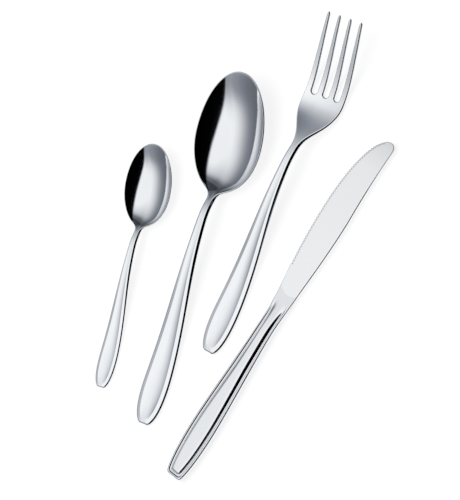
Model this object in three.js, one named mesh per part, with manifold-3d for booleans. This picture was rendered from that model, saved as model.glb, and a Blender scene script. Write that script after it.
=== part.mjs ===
// A set of table cutlery in polished stainless steel, lying face up on a table: a teaspoon,
// a table spoon, a four-tine table fork and a one-piece table knife with a toothed edge.
// Millimetres, +Z up, the table at z = 0, and +Y from the handles towards the bowls, tines and blade.
// Each piece is drawn by itself first, with its length along +Y from the handle's blunt end at y = 0.
import * as THREE from "three";
import { mergeVertices } from "three/addons/utils/BufferGeometryUtils.js";
import Module from "manifold-3d";

// Sizes of the table spoon
const tableSpoon = {
  length: 199,
  endWidth: 6.2,
  handleWidth: 16.8,
  widestAt: 22,
  neckWidth: 5.6,
  neckAt: 127.5,
  handleThickness: 3,
  neckThickness: 4.2,
  sideThickness: 1.8,
  flatLength: 22,
  neckHeight: 12,
  dish: 0.5,
  borderWidth: 2,
  bowlWidth: 43,
  bowlNose: 38.2,
  bowlHeel: 28.8,
  bowlDepth: 8.2,
  bowlThickness: 1.6,
  rimThickness: 1.4,
  heelHeight: 5.8,
  noseHeight: 17.4,
};

// Sizes of the teaspoon
const teaspoon = {
  length: 135.6,
  endWidth: 4.6,
  handleWidth: 11.6,
  widestAt: 16,
  neckWidth: 4.2,
  neckAt: 87,
  handleThickness: 2.2,
  neckThickness: 3,
  sideThickness: 1.35,
  flatLength: 16,
  neckHeight: 8.2,
  dish: 0.35,
  borderWidth: 1.5,
  bowlWidth: 29.6,
  bowlNose: 24.6,
  bowlHeel: 21,
  bowlDepth: 5.6,
  bowlThickness: 1.3,
  rimThickness: 1.1,
  heelHeight: 4.3,
  noseHeight: 11.5,
};

// Sizes of the table fork
const tableFork = {
  length: 198.5,
  endWidth: 6.5,
  handleWidth: 16.2,
  widestAt: 22,
  neckWidth: 5.6,
  handleThickness: 3,
  neckThickness: 4.2,
  sideThickness: 1.8,
  flatLength: 26,
  neckHeight: 10,
  dish: 0.5,
  borderWidth: 2,
  headWidth: 26,
  headLength: 48.6,
  shoulderLength: 28,
  palmLead: 4,
  palmThickness: 2.2,
  palmDish: 0.5,
  slotLength: 46,
  tineRootWidth: 4,
  tineTipWidth: 2.2,
  tineTipRound: 2.6,
  tineTipThickness: 1.3,
  tipSpan: 23.2,
  tipHeight: 18.7,
  tines: 4,
};

// Places along the fork, measured back from its tips: the head keeps its form if the length changes
tableFork.headAt = tableFork.length - tableFork.headLength;
tableFork.neckAt = tableFork.headAt - tableFork.shoulderLength;
tableFork.palmAt = tableFork.headAt - tableFork.palmLead;

// Sizes of the table knife
const tableKnife = {
  length: 219.6,
  endWidth: 9.6,
  handleWidth: 16.4,
  widestAt: 31,
  neckWidth: 11,
  neckAt: 101,
  handleThickness: 5.8,
  sideThickness: 2.4,
  beadWidth: 1.1,
  beadThickness: 4.3,
  grooveWidth: 1.4,
  grooveThickness: 3.3,
  panelSlope: 1.3,
  heelAt: 120,
  bladeAt: 169.5,
  spineOut: 8.3,
  edgeOut: 10.5,
  tipOut: 4.6,
  spineThickness: 2,
  edgeThickness: 0.5,
  toothPitch: 1.7,
  toothDepth: 0.45,
  teethFrom: 133,
};

// Where the blunt end of each handle lies on the table, and how far the piece is turned to the right of +Y
const layout = {
  teaspoon: { x: -78.3, y: -73.6, turn: 15.4 },
  table_spoon: { x: -50.7, y: -94.2, turn: 19.2 },
  table_fork: { x: -11.3, y: -56.7, turn: 26.6 },
  table_knife: { x: -29.2, y: -123.4, turn: 34.8 },
};

// Shared form: how full a bowl and a handle's back are, the small radius of edges, how finely things are divided
const BOWL_CURVE = 2.2;
const BACK_CURVE = 4;
const EDGE_ROUND = 0.4;
const NOSE_FLAT = 1.2;
const DIVISIONS = 7;
const FACE_STEPS = 4;
const ROUND_STEPS = 2;

const { lerp, smoothstep, degToRad } = THREE.MathUtils;
const wasm = await Module();
wasm.setup();

// Booleans

function solidOf(geometry) {
  const bare = geometry.clone();
  bare.deleteAttribute("normal");
  bare.deleteAttribute("uv");
  const merged = mergeVertices(bare, 1e-4);
  const mesh = new wasm.Mesh({
    numProp: 3,
    vertProperties: merged.attributes.position.array,
    triVerts: new Uint32Array(merged.index.array),
  });
  return new wasm.Manifold(mesh);
}

function geometryOf(solid) {
  const mesh = solid.getMesh();
  const geometry = new THREE.BufferGeometry();
  geometry.setAttribute("position", new THREE.BufferAttribute(mesh.vertProperties, 3));
  geometry.setIndex(new THREE.BufferAttribute(mesh.triVerts, 1));
  return geometry;
}

// Lofts

// Skins a closed solid over rings of [x, y, z] points and closes both ends with a fan.
function loft(rings) {
  const count = rings[0].length;
  const points = rings.flat();
  const faces = [];
  for (let i = 0; i + 1 < rings.length; i++) {
    for (let j = 0; j < count; j++) {
      const a = i * count + j;
      const b = i * count + ((j + 1) % count);
      faces.push(a, b, a + count, b, b + count, a + count);
    }
  }
  const close = (ring, first, turned) => {
    const centre = [0, 1, 2].map((k) => ring.reduce((sum, p) => sum + p[k], 0) / count);
    points.push(centre);
    const hub = points.length - 1;
    for (let j = 0; j < count; j++) {
      const a = first + j;
      const b = first + ((j + 1) % count);
      faces.push(hub, turned ? a : b, turned ? b : a);
    }
  };
  close(rings[0], 0, false);
  close(rings.at(-1), (rings.length - 1) * count, true);
  const geometry = new THREE.BufferGeometry();
  geometry.setAttribute("position", new THREE.Float32BufferAttribute(points.flat(), 3));
  geometry.setIndex(faces);
  return geometry;
}

// Height of a drawn line, a path or a list of points, at a place along it.
function heights(line) {
  const points = Array.isArray(line) ? line : line.getPoints(24);
  return (at) => {
    const found = points.findIndex((p) => p.x >= at);
    const next = found < 0 ? points.length - 1 : Math.max(1, found);
    const [a, b] = [points[next - 1], points[next]];
    const share = b.x > a.x ? (at - a.x) / (b.x - a.x) : 0;
    return lerp(a.y, b.y, Math.min(1, share));
  };
}

// The places along a drawn half outline, each with its half width, in order and without repeats.
function stations(path) {
  const points = path.getPoints(DIVISIONS);
  return points.filter((p, i) => i === 0 || p.x - points[i - 1].x > 1e-3);
}

// One closed section of a pressed blank. From the middle of its face it runs out over the dish, round
// the border, down the side, round the lower edge and back under, and the other half mirrors it.
function section(at, s) {
  const half = [];
  const sole = s.crest - s.dish - s.web;
  const low = Math.max(s.crest - s.edge, sole);
  for (let i = 0; i <= FACE_STEPS; i++) {
    const x = Math.sin((i / FACE_STEPS) * Math.PI / 2);
    half.push([x * (s.half - s.border), s.crest - s.dish * (1 - x ** BOWL_CURVE)]);
  }
  for (let i = 1; i <= ROUND_STEPS; i++) {
    const a = (i / ROUND_STEPS) * Math.PI / 2;
    half.push([s.half - s.border * (1 - Math.sin(a)), s.crest - s.drop * (1 - Math.cos(a))]);
  }
  for (let i = 0; i <= ROUND_STEPS; i++) {
    const a = (i / ROUND_STEPS) * Math.PI / 2;
    half.push([s.half - s.round * (1 - Math.cos(a)), low + s.round * (1 - Math.sin(a))]);
  }
  for (let i = FACE_STEPS - 1; i >= 0; i--) {
    const x = Math.sin((i / FACE_STEPS) * Math.PI / 2);
    half.push([x * (s.half - s.round), lerp(sole, low, x ** s.back)]);
  }
  const mirrored = half.slice(1, -1).reverse().map(([x, z]) => [-x, z]);
  return [...half, ...mirrored].map(([x, z]) => [x, at, z]);
}

// Lets a finished piece down on the table: its lower outline's longest span comes to lie level at z = 0.
function settle(geometry) {
  const position = geometry.attributes.position;
  const points = [];
  for (let i = 0; i < position.count; i++) {
    points.push([position.getY(i), position.getZ(i)]);
  }
  points.sort((a, b) => a[0] - b[0] || a[1] - b[1]);
  const under = [];
  const turn = (a, b, c) => (b[0] - a[0]) * (c[1] - a[1]) - (b[1] - a[1]) * (c[0] - a[0]);
  for (const point of points) {
    while (under.length > 1 && turn(under.at(-2), under.at(-1), point) <= 0) {
      under.pop();
    }
    under.push(point);
  }
  const span = (i) => under[i + 1][0] - under[i][0];
  const spans = under.slice(1).map((_, i) => i);
  const longest = spans.reduce((best, i) => (span(i) > span(best) ? i : best), 0);
  const [[y0, z0], [y1, z1]] = [under[longest], under[longest + 1]];
  geometry.translate(0, -y0, -z0);
  geometry.rotateX(-Math.atan2(z1 - z0, y1 - y0));
  geometry.translate(0, y0, 0);
  return geometry;
}

// Spoon and fork handles

// Half outline from the blunt end over the widest place to the neck.
function handleOutline(s) {
  const [end, wide, neck] = [s.endWidth / 2, s.handleWidth / 2, s.neckWidth / 2];
  const taper = s.neckAt - s.widestAt;
  const path = new THREE.Path().moveTo(0, end);
  path.bezierCurveTo(0.17 * s.widestAt, lerp(end, wide, 0.78), 0.55 * s.widestAt, wide, s.widestAt, wide);
  path.bezierCurveTo(s.widestAt + 0.16 * taper, wide, s.widestAt + 0.74 * taper, neck, s.neckAt, neck);
  return path;
}

// Side view of the upper edge from the rounded blunt end along the table and up to the top of the neck.
function handleProfile(s) {
  const crestAt = s.neckAt - 2 * s.neckWidth;
  const rise = crestAt - s.flatLength;
  const path = new THREE.Path().moveTo(0, s.handleThickness / 2);
  path.quadraticCurveTo(0, s.handleThickness, s.borderWidth, s.handleThickness);
  path.lineTo(s.flatLength, s.handleThickness);
  path.bezierCurveTo(
    s.flatLength + 0.4 * rise, s.handleThickness, crestAt - 0.4 * rise, s.neckHeight, crestAt, s.neckHeight,
  );
  return path;
}

// What every section of a handle shares. Past the neck the head's own form takes over by its share.
function handleSection(s, at, crest) {
  const taper = smoothstep(at, s.widestAt, s.neckAt);
  const body = lerp(s.handleThickness, s.neckThickness, taper);
  const rounded = at < s.borderWidth ? s.handleThickness - crest : 0;
  const dish = s.dish * (1 - taper) * smoothstep(at, 0, s.widestAt / 2);
  const edge = lerp(s.sideThickness, s.sideThickness * s.neckThickness / s.handleThickness, taper);
  return { dish, web: body - dish - rounded, edge, border: s.borderWidth, drop: s.borderWidth / 2 };
}

// Spoons

function spoon(s) {
  const [bowlHalf, widest] = [s.bowlWidth / 2, s.length - s.bowlNose];
  const joinAngle = degToRad(35);
  const joinAt = widest - s.bowlHeel * Math.cos(joinAngle);
  const joinHalf = bowlHalf * Math.sin(joinAngle);
  const reach = 0.3;

  const outline = handleOutline(s);
  outline.bezierCurveTo(
    lerp(s.neckAt, joinAt, 0.55), s.neckWidth / 2,
    joinAt - reach * s.bowlHeel * Math.sin(joinAngle), joinHalf - reach * bowlHalf * Math.cos(joinAngle),
    joinAt, joinHalf,
  );
  outline.absellipse(widest, 0, s.bowlHeel, bowlHalf, Math.PI - joinAngle, Math.PI / 2, true);
  outline.absellipse(widest, 0, s.bowlNose, bowlHalf, Math.PI / 2, 0, true);

  const profile = handleProfile(s);
  const crestAt = profile.currentPoint.x;
  const heelAt = widest - 0.75 * s.bowlHeel;
  const rimSlope = (s.noseHeight - s.heelHeight) / (s.length - heelAt);
  const lead = 0.35 * (heelAt - crestAt);
  profile.bezierCurveTo(
    lerp(crestAt, heelAt, 0.45), s.neckHeight, heelAt - lead, s.heelHeight - lead * rimSlope, heelAt, s.heelHeight,
  );
  profile.lineTo(s.length, s.noseHeight);
  const crestOf = heights(profile);

  const rings = stations(outline).map(({ x: at, y }) => {
    const half = Math.max(y, NOSE_FLAT / 2);
    const crest = crestOf(at);
    const handle = handleSection(s, at, crest);
    const share = smoothstep(at, s.neckAt, lerp(joinAt, widest, 0.3));
    const dish = handle.dish + share * s.bowlDepth * (half / bowlHalf) ** 2;
    const web = lerp(handle.web, s.bowlThickness, share);
    return section(at, {
      half,
      crest,
      dish,
      web,
      edge: lerp(handle.edge, s.rimThickness, share),
      border: Math.min(lerp(handle.border, EDGE_ROUND, share), 0.45 * half),
      drop: lerp(handle.drop, EDGE_ROUND, share),
      round: EDGE_ROUND,
      back: lerp(BACK_CURVE, BOWL_CURVE, share),
    });
  });
  return settle(loft(rings));
}

// Fork

// The slot to the right of a tine, drawn from above: round at its root, widening to the rounded tips.
function slotShape(s, index, rootHalf) {
  const gaps = s.tines - 1;
  const rootAt = s.length - s.slotLength;
  const rootPitch = (2 * rootHalf - s.tineRootWidth) / gaps;
  const tipPitch = (s.tipSpan - s.tineTipWidth) / gaps;
  const offset = index - (gaps - 1) / 2;
  const [rootX, tipX] = [offset * rootPitch, offset * tipPitch];
  const radius = (rootPitch - s.tineRootWidth) / 2;
  const [left, right] = [tipX - tipPitch / 2, tipX + tipPitch / 2];
  const tipAt = s.length - s.tineTipRound;
  const beyond = s.length + s.tineTipRound;
  const shape = new THREE.Shape().moveTo(left, beyond);
  shape.absellipse(left, tipAt, s.tineTipWidth / 2, s.tineTipRound, Math.PI / 2, 0, true);
  shape.absarc(rootX, rootAt + radius, radius, Math.PI, 2 * Math.PI, false);
  shape.absellipse(right, tipAt, s.tineTipWidth / 2, s.tineTipRound, Math.PI, Math.PI / 2, true);
  shape.lineTo(right, beyond);
  return shape;
}

function fork(s) {
  const [headHalf, tipHalf] = [s.headWidth / 2, s.tipSpan / 2];
  const shoulder = s.headAt - s.neckAt;
  const tipAt = s.length - s.tineTipRound;

  const outline = handleOutline(s);
  outline.bezierCurveTo(
    s.neckAt + 0.38 * shoulder, s.neckWidth / 2, s.headAt - 0.52 * shoulder, headHalf, s.headAt, headHalf,
  );
  outline.quadraticCurveTo(lerp(s.headAt, tipAt, 0.35), headHalf, tipAt, tipHalf);
  outline.absellipse(
    tipAt, tipHalf - s.tineTipWidth / 2, s.tineTipRound, s.tineTipWidth / 2, Math.PI / 2, 0, true,
  );

  const profile = handleProfile(s);
  const crestAt = profile.currentPoint.x;
  const lift = s.length - s.palmAt;
  profile.bezierCurveTo(
    lerp(crestAt, s.palmAt, 0.45), s.neckHeight, lerp(crestAt, s.palmAt, 0.6), s.palmThickness,
    s.palmAt, s.palmThickness,
  );
  profile.bezierCurveTo(
    s.palmAt + 0.4 * lift, s.palmThickness, s.length - 0.35 * lift, lerp(s.palmThickness, s.tipHeight, 0.5),
    s.length, s.tipHeight,
  );
  const crestOf = heights(profile);

  const rings = stations(outline).map(({ x: at, y: half }) => {
    const crest = crestOf(at);
    const handle = handleSection(s, at, crest);
    const share = smoothstep(at, s.neckAt, s.palmAt);
    const palm = lerp(s.palmThickness, s.tineTipThickness, smoothstep(at, s.palmAt, s.length));
    const dish = handle.dish + share * s.palmDish * (1 - smoothstep(at, s.headAt, s.length));
    const web = lerp(handle.web, palm, share);
    return section(at, {
      half,
      crest,
      dish,
      web,
      edge: lerp(handle.edge, palm, share),
      border: lerp(handle.border, EDGE_ROUND, share),
      drop: lerp(handle.drop, EDGE_ROUND, share),
      round: EDGE_ROUND,
      back: BACK_CURVE,
    });
  });

  const rootHalf = heights(outline)(s.length - s.slotLength);
  const depth = 2 * (s.tipHeight + s.neckHeight);
  let blank = solidOf(loft(rings));
  for (let i = 0; i < s.tines - 1; i++) {
    const slot = new THREE.ExtrudeGeometry(slotShape(s, i, rootHalf), {
      depth, bevelEnabled: false, curveSegments: 4,
    });
    blank = blank.subtract(solidOf(slot.translate(0, 0, -depth / 2)));
  }
  return settle(geometryOf(blank));
}

// Knife

// Half thickness of the handle over the distance in from its outline: bead, groove and raised panel.
function handleRelief(s) {
  const groove = s.beadWidth + s.grooveWidth;
  return [
    [0, s.sideThickness / 2],
    [0.4 * s.beadWidth, lerp(s.sideThickness, s.beadThickness, 0.75) / 2],
    [s.beadWidth, s.beadThickness / 2],
    [s.beadWidth + 0.6 * s.grooveWidth, s.grooveThickness / 2],
    [groove + 0.35 * s.panelSlope, lerp(s.grooveThickness, s.handleThickness, 0.7) / 2],
    [groove + s.panelSlope, s.handleThickness / 2],
  ].map(([x, y]) => new THREE.Vector2(x, y));
}

// One side of the outline from above, from the blunt end past the neck to where the blade stands out most.
function knifeSide(s, bladeOut) {
  const [end, wide, neck] = [s.endWidth / 2, s.handleWidth / 2, s.neckWidth / 2];
  const taper = s.neckAt - s.widestAt;
  const blade = s.bladeAt - s.neckAt;
  const path = new THREE.Path().moveTo(0, end);
  path.bezierCurveTo(0.12 * s.widestAt, lerp(end, wide, 0.6), 0.5 * s.widestAt, wide, s.widestAt, wide);
  path.bezierCurveTo(s.widestAt + 0.25 * taper, wide, s.neckAt - 0.3 * taper, neck, s.neckAt, neck);
  path.bezierCurveTo(s.neckAt + 0.35 * blade, neck, s.bladeAt - 0.45 * blade, bladeOut, s.bladeAt, bladeOut);
  return path;
}

// Round-bottomed notches in a row along the cutting edge, which leave the teeth standing between them.
function toothNotches(s, edge) {
  const toothed = edge.getPoints(60).filter((p) => p.x >= s.teethFrom);
  const run = new THREE.SplineCurve(toothed);
  const count = Math.floor(run.getLength() / s.toothPitch);
  const radius = (s.toothPitch ** 2 / 4 + s.toothDepth ** 2) / (2 * s.toothDepth);
  const notches = [];
  for (let i = 0; i < count - 1; i++) {
    const share = (i + 0.5) / count;
    const along = run.getTangentAt(share);
    const outward = new THREE.Vector2(-along.y, along.x);
    const middle = run.getPointAt(share).addScaledVector(outward, radius - s.toothDepth);
    const notch = new THREE.CylinderGeometry(radius, radius, 2 * s.handleThickness, 10);
    notch.rotateX(Math.PI / 2).translate(-middle.y, middle.x, 0);
    notches.push(solidOf(notch));
  }
  return wasm.Manifold.union(notches);
}

function knife(s) {
  const spine = knifeSide(s, s.spineOut);
  spine.bezierCurveTo(
    lerp(s.bladeAt, s.length, 0.5), s.spineOut - 0.6, s.length, s.spineOut + 1.2, s.length, s.tipOut,
  );
  const edge = knifeSide(s, s.edgeOut);
  edge.bezierCurveTo(
    lerp(s.bladeAt, s.length, 0.55), s.edgeOut, s.length, 0.45 * s.edgeOut, s.length, -s.tipOut,
  );
  const [spineOf, edgeOf] = [heights(spine), heights(edge)];
  const relief = handleRelief(s);
  const reliefOf = heights(relief);

  const places = [...relief.map((p) => p.x), ...stations(edge).map((p) => p.x)];
  places.sort((a, b) => a - b);
  const rings = places.filter((at, i) => i === 0 || at - places[i - 1] > 0.05).map((at) => {
    const right = Math.max(spineOf(at), s.tipOut + NOSE_FLAT / 2);
    const left = -Math.max(edgeOf(at), NOSE_FLAT / 2 - s.tipOut);
    const width = right - left;
    const squeeze = Math.min(1, width / s.neckWidth);
    const share = smoothstep(at, s.neckAt - 15, s.heelAt);
    const halfOf = (x, inset) => {
      const handle = reliefOf(Math.min(inset, at));
      const blade = lerp(s.edgeThickness, s.spineThickness, (x - left) / width) / 2;
      return lerp(handle, blade, share);
    };
    const near = relief.map(({ x: inset }) => [left + inset * squeeze, inset]);
    const far = relief.map(({ x: inset }) => [right - inset * squeeze, inset]).reverse();
    const top = [...near, ...far].map(([x, inset]) => [x, halfOf(x, inset)]);
    const under = top.map(([x, half]) => [x, -half]).reverse();
    return [...top, ...under].map(([x, z]) => [x, at, z]);
  });

  const toothed = solidOf(loft(rings)).subtract(toothNotches(s, edge));
  return geometryOf(toothed).translate(0, 0, s.handleThickness / 2);
}

// The set

const steel = { color: 0xd8dbe0, roughness: 0.12, metalness: 1 };
const pieces = {
  teaspoon: spoon(teaspoon),
  table_spoon: spoon(tableSpoon),
  table_fork: fork(tableFork),
  table_knife: knife(tableKnife),
};

const set = new THREE.Group();
for (const [name, geometry] of Object.entries(pieces)) {
  geometry.computeVertexNormals();
  const mesh = new THREE.Mesh(geometry, new THREE.MeshStandardMaterial(steel));
  mesh.name = name;
  mesh.position.set(layout[name].x, layout[name].y, 0);
  mesh.rotation.z = -degToRad(layout[name].turn);
  set.add(mesh);
}

// The frame's origin is the middle of the set, on the table.
const box = new THREE.Box3().setFromObject(set, true);
const middle = box.getCenter(new THREE.Vector3());
for (const mesh of set.children) {
  mesh.position.sub(new THREE.Vector3(middle.x, middle.y, box.min.z));
}

export default set;
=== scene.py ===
"""A set of polished table cutlery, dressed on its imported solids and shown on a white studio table."""

import math
from functools import partial
from types import SimpleNamespace

import bmesh
import bpy
import numpy as np
from mathutils import Matrix, Vector


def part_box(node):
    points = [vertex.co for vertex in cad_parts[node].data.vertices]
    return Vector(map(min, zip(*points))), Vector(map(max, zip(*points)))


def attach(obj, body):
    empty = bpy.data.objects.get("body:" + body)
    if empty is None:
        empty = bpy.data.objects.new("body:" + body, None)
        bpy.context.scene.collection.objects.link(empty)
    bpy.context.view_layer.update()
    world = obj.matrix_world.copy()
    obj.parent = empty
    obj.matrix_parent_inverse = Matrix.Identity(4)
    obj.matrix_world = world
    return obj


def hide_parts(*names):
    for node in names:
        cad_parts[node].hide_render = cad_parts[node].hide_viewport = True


bl_info = {
    "name": "Table Cutlery Set",
    "version": (1, 0, 0),
    "blender": (4, 5, 0),
    "location": "View3D > Sidebar > Cutlery",
    "description": "Builds a teaspoon, a table spoon, a table fork and a table knife in polished steel",
    "category": "Add Mesh",
}

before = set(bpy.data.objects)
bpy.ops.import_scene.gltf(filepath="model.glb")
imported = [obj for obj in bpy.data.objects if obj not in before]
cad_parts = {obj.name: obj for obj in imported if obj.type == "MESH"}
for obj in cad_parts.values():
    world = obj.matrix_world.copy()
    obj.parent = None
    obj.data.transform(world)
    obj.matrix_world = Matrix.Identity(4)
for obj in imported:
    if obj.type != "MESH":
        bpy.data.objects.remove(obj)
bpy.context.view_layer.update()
MM = 0.001

# How full a bowl's or dish's section is: the rest of the curve is a fourth power, which steepens the rim.
BOWL_FULLNESS = 0.88
# Loops over a face or a back, from the middle line out.
FACE_LOOPS = 18
# Rounding of the lower edges in millimetres, and the loops it is drawn with.
EDGE_ROUND = 0.4
EDGE_LOOPS = 4
# Border of a face: first a bevel, by its slope and its share of the border, then a roll down to the side.
BEVEL_SLOPE = 0.19
BEVEL_SHARE = 0.62
BEVEL_STEPS = (0.08, 0.3, 0.7, 1.0)
BORDER_STEPS = (0.12, 0.25, 0.37, 0.49, 0.61, 0.73, 0.85, 0.95, 1.0)
# Angle round a bowl, in degrees from its heel, at which the throat runs into it.
JOIN_ANGLE = 35.0
# Length of the spoon that the spacing of a spoon's mesh is given for.
FULL_LENGTH = 199
# Points of a mesh that lie closer than this, in millimetres, become one.
WELD = 1e-4
# A depth in from the outline that is past all relief of the knife.
DEEP = 99.0


# Properties


def length(name, description, millimetres):
    """A size of a piece, kept in metres."""
    return bpy.props.FloatProperty(
        name=name, description=description, default=millimetres * MM, min=0.0, unit="LENGTH", precision=5
    )


def turned(name, description, degrees):
    """How far a piece is turned on the table."""
    return bpy.props.FloatProperty(
        name=name, description=description, default=math.radians(degrees), subtype="ANGLE"
    )


def tint(name, description, colour):
    """A colour of a finish."""
    return bpy.props.FloatVectorProperty(
        name=name, description=description, default=colour, size=3, min=0.0, max=1.0, subtype="COLOR"
    )


def share(name, description, value):
    """A plain number between nought and one."""
    return bpy.props.FloatProperty(
        name=name, description=description, default=value, min=0.0, max=1.0, subtype="FACTOR"
    )


# Key, name, description, and the lengths of the table spoon and of the teaspoon in millimetres.
SPOON_LENGTHS = (
    ("length", "Length", "Blunt end to nose", 199, 135.6),
    ("end_width", "End width", "Width of the cut end", 6.2, 4.6),
    ("handle_width", "Handle width", "Greatest width of the handle", 16.8, 11.6),
    ("widest_at", "Widest at", "Blunt end to the handle's widest place", 22, 16),
    ("neck_width", "Neck width", "Least width, behind the bowl", 5.6, 4.2),
    ("neck_at", "Neck at", "Blunt end to the neck", 127.5, 87),
    ("handle_thickness", "Handle thickness", "Thickness of the handle's end", 3, 2.2),
    ("neck_thickness", "Neck thickness", "Thickness of the neck", 4.2, 3),
    ("side_thickness", "Side thickness", "Thickness at the handle's sides, over its rounded back", 1.8, 1.35),
    ("flat_length", "Flat length", "Part of the handle that lies level", 22, 16),
    ("neck_height", "Neck height", "Height of the arched neck", 12.4, 8.5),
    ("dish", "Handle dish", "Hollow of the handle's face", 0.6, 0.35),
    ("border_width", "Border width", "Bevelled border round the handle", 2.8, 2),
    ("bowl_width", "Bowl width", "Greatest width of the bowl", 43, 29.6),
    ("bowl_nose", "Bowl nose", "Widest place of the bowl to its nose", 38.2, 24.6),
    ("bowl_heel", "Bowl heel", "Widest place of the bowl back to its heel", 28.8, 21),
    ("bowl_depth", "Bowl depth", "Hollow of the bowl below its rim", 8, 5.5),
    ("bowl_thickness", "Bowl thickness", "Sheet at the bottom of the bowl", 1.6, 1.3),
    ("rim_thickness", "Rim thickness", "Sheet at the rim of the bowl", 1.4, 1.1),
    ("heel_height", "Heel height", "Height of the rim at the heel", 8, 5.7),
    ("nose_height", "Nose height", "Height of the rim at the nose", 18, 11.9),
)


def spoon_sizes(column, degrees):
    """Properties of one spoon, from its column in the table of lengths."""
    sizes = {key: length(name, text, values[column]) for key, name, text, *values in SPOON_LENGTHS}
    return {**sizes, "turn": turned("Turn", "Turned to the right on the table", degrees)}


class TableSpoonSizes(bpy.types.PropertyGroup):
    """Sizes of the table spoon."""

    __annotations__ = spoon_sizes(0, 19.2)


class TeaspoonSizes(bpy.types.PropertyGroup):
    """Sizes of the teaspoon."""

    __annotations__ = spoon_sizes(1, 15.4)


class ForkSizes(bpy.types.PropertyGroup):
    """Sizes of the table fork."""

    length: length("Length", "Blunt end to tine tips", 198.5)
    end_width: length("End width", "Width of the cut end", 6.5)
    handle_width: length("Handle width", "Greatest width of the handle", 16.2)
    widest_at: length("Widest at", "Blunt end to the handle's widest place", 22)
    neck_width: length("Neck width", "Least width, behind the head", 5.6)
    neck_at: length("Neck at", "Blunt end to the neck", 121.9)
    handle_thickness: length("Handle thickness", "Thickness of the handle's end", 3)
    neck_thickness: length("Neck thickness", "Thickness of the neck", 4.2)
    side_thickness: length("Side thickness", "Thickness at the handle's sides, over its rounded back", 1.8)
    flat_length: length("Flat length", "Part of the handle that lies level", 26)
    neck_height: length("Neck height", "Height of the arched neck", 12.4)
    dish: length("Handle dish", "Hollow of the handle's face", 0.6)
    border_width: length("Border width", "Bevelled border round the handle", 2.8)
    head_width: length("Head width", "Greatest width of the head", 26)
    head_at: length("Head at", "Blunt end to the head's widest place", 149.9)
    palm_at: length("Palm at", "Blunt end to the lowest place of the palm", 149.5)
    palm_thickness: length("Palm thickness", "Sheet of the palm", 2.2)
    palm_dish: length("Palm dish", "Hollow of the palm", 0.5)
    slot_length: length("Slot length", "Root of a slot to the tips", 46)
    tine_root_width: length("Tine root width", "Width of a tine at its root", 4)
    tine_tip_width: length("Tine tip width", "Width of a tine before its rounded tip", 2.2)
    tine_tip_round: length("Tine tip round", "Length of the rounded tip", 2.6)
    tine_tip_thickness: length("Tine tip thickness", "Thickness at the tips", 1.3)
    tip_span: length("Tip span", "Width over the four tips", 23.2)
    tip_height: length("Tip height", "Height of the tips", 18.7)
    tip_rise: length("Tip rise", "Rise of the line of tips from the middle to the right", 1.55)
    turn: turned("Turn", "Turned to the right on the table", 26.6)


class KnifeSizes(bpy.types.PropertyGroup):
    """Sizes of the table knife."""

    length: length("Length", "Blunt end to tip", 219.6)
    end_width: length("End width", "Width of the cut end", 9.6)
    handle_width: length("Handle width", "Greatest width of the handle", 16.4)
    widest_at: length("Widest at", "Blunt end to the handle's widest place", 31)
    neck_width: length("Neck width", "Least width, behind the blade", 11)
    neck_at: length("Neck at", "Blunt end to the neck", 101)
    handle_thickness: length("Handle thickness", "Thickness over the raised panels", 5.8)
    side_thickness: length("Side thickness", "Thickness at the outline", 1.4)
    bead_width: length("Bead width", "Outline to the top of the bead", 1.2)
    bead_thickness: length("Bead thickness", "Thickness over the bead", 4.4)
    groove_width: length("Groove width", "Groove between the bead and the panel", 1.4)
    groove_thickness: length("Groove thickness", "Thickness at the bottom of the groove", 3.4)
    panel_slope: length("Panel slope", "Rounded side of the raised panel", 2.4)
    heel_at: length("Heel at", "Blunt end to the start of the blade", 120)
    blade_at: length("Blade at", "Blunt end to the blade's widest place", 169.5)
    spine_out: length("Spine out", "Middle line to the blade's back", 8.3)
    edge_out: length("Edge out", "Middle line to the cutting edge", 10.5)
    tip_out: length("Tip out", "Middle line to the tip", 5.5)
    spine_thickness: length("Spine thickness", "Thickness of the blade's back", 1.8)
    edge_thickness: length("Edge thickness", "Thickness of the cutting edge", 0.5)
    tooth_pitch: length("Tooth pitch", "One tooth to the next", 1.7)
    tooth_depth: length("Tooth depth", "Depth of the notches", 0.5)
    teeth_from: length("Teeth from", "Blunt end to the first tooth", 133)
    turn: turned("Turn", "Turned to the right on the table", 34.8)


class FinishColours(bpy.types.PropertyGroup):
    """Colours of the steel and of the stage."""

    steel: tint("Polished steel", "Colour of the polished steel", (0.865, 0.876, 0.897))
    # Painted light: the handles' tone is a lighter copy of the polished steel under the same polish, and the tines'
    # and the blade's tones are lighter copies too. Their brushed and satin grain, set by roughness, is their own.
    handle: tint("Handle steel", "Colour of the handles, polished a little brighter", (0.91, 0.922, 0.945))
    fork: tint("Tine steel", "Colour of the fork's brushed tines", (0.97, 0.98, 0.99))
    blade: tint("Satin blade", "Colour of the satin-ground blade", (0.97, 0.975, 0.985))
    floor: tint("Table", "Colour of the table", (0.92, 0.92, 0.92))
    polish: share("Polish", "Roughness of the polished steel", 0.055)
    brushed: share("Brushed", "Roughness of the fork's tines", 0.2)
    satin: share("Satin", "Roughness of the satin blade", 0.1)


# Drawing


def in_millimetres(sizes):
    """The sizes of a property group as plain numbers in millimetres, and its angle in radians."""
    values = {}
    for key in sizes.__annotations__:
        values[key] = getattr(sizes, key) if key == "turn" else getattr(sizes, key) / MM
    return SimpleNamespace(**values)


def mix(a, b, amount):
    return a + (b - a) * amount


def smooth(value, low, high):
    t = np.clip((value - low) / (high - low), 0.0, 1.0)
    return t * t * (3.0 - 2.0 * t)


def line(start, end, count=80):
    t = np.linspace(0.0, 1.0, count)[:, None]
    return mix(np.array(start, float), np.array(end, float), t)


def curve(start, lead, follow, end):
    """A cubic curve between two points, pulled by two others."""
    t = np.linspace(0.0, 1.0, 120)[:, None]
    a, b, c, d = (np.array(p, float) for p in (start, lead, follow, end))
    return (1 - t) ** 3 * a + 3 * t * (1 - t) ** 2 * b + 3 * t * t * (1 - t) * c + t ** 3 * d


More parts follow.
